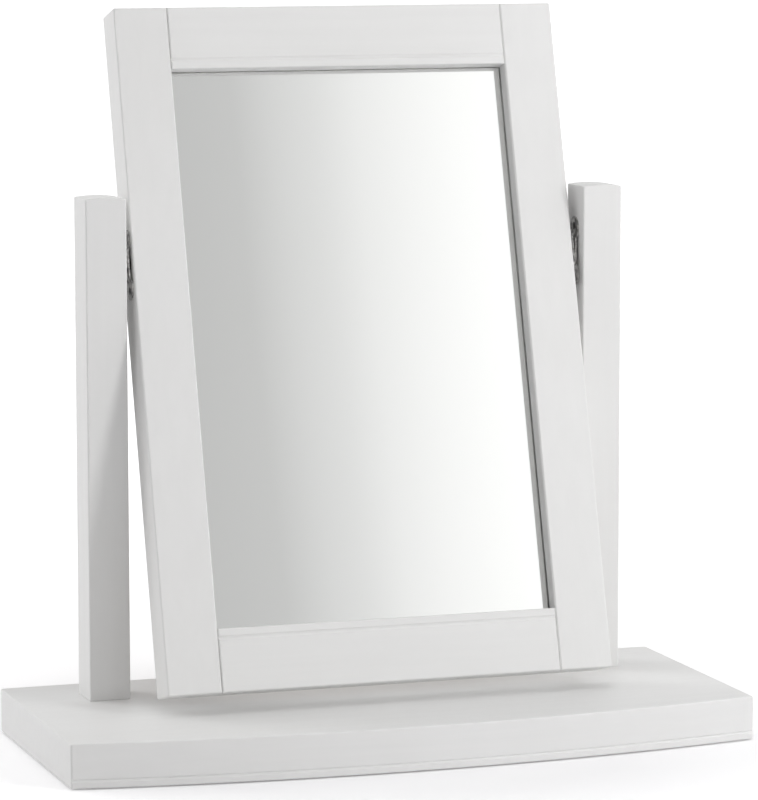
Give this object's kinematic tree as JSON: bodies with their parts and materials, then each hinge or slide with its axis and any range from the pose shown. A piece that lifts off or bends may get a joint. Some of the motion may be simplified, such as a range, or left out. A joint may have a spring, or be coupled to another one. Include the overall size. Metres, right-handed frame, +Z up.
{
  "type": "dressing table mirror",
  "caption": "Free-standing dressing-table mirror: a framed glass tilting between two posts on a bow-fronted base.",
  "frame": {"origin": "middle of the base's underside, on the surface that it stands on", "axes": "+Z up, +X to the viewer's right, +Y to the back; the glass faces -Y and leans back at rest"},
  "size_m": [0.54, 0.2595, 0.5591],
  "materials": {
    "white_paint": "satin off-white paint",
    "silvered_glass": "polished, silvered",
    "dark_steel": "blackened",
    "zinc_steel": "zinc plated",
    "brass": "turned",
    "beech": "bare",
    "hardboard": "smooth, unpainted",
    "grey_felt": "felt",
    "foam": "thin foam sheet",
    "fibre": "vulcanised fibre"
  },
  "bodies": {
    "stand": {"base_board": "white_paint", "base_felt": "grey_felt", "left_post": "white_paint", "left_post_bolt": "zinc_steel", "left_post_washer": "zinc_steel", "left_post_insert": "brass", "left_post_dowels": "beech", "left_post_plate": "dark_steel", "left_post_plate_screws": "dark_steel", "left_pivot_rivet": "dark_steel", "left_spring_washer": "dark_steel", "left_friction_washer": "fibre", "right_post": "white_paint", "right_post_bolt": "zinc_steel", "right_post_washer": "zinc_steel", "right_post_insert": "brass", "right_post_dowels": "beech", "right_post_plate": "dark_steel", "right_post_plate_screws": "dark_steel", "right_pivot_rivet": "dark_steel", "right_spring_washer": "dark_steel", "right_friction_washer": "fibre"},
    "mirror": {"top_rail": "white_paint", "bottom_rail": "white_paint", "top_rail_dowels": "beech", "bottom_rail_dowels": "beech", "mirror_glass": "silvered_glass", "backing_foam": "foam", "back_panel": "hardboard", "back_panel_screws": "zinc_steel", "left_stile": "white_paint", "left_frame_plate": "dark_steel", "left_frame_plate_screws": "dark_steel", "right_stile": "white_paint", "right_frame_plate": "dark_steel", "right_frame_plate_screws": "dark_steel"}
  },
  "joints": [
    {"name": "mirror_tilt", "type": "hinge", "parent": "stand", "child": "mirror", "pos_m": [0, 0.066, 0.366], "axis": [1, 0, 0], "continuous": true}
  ]
}
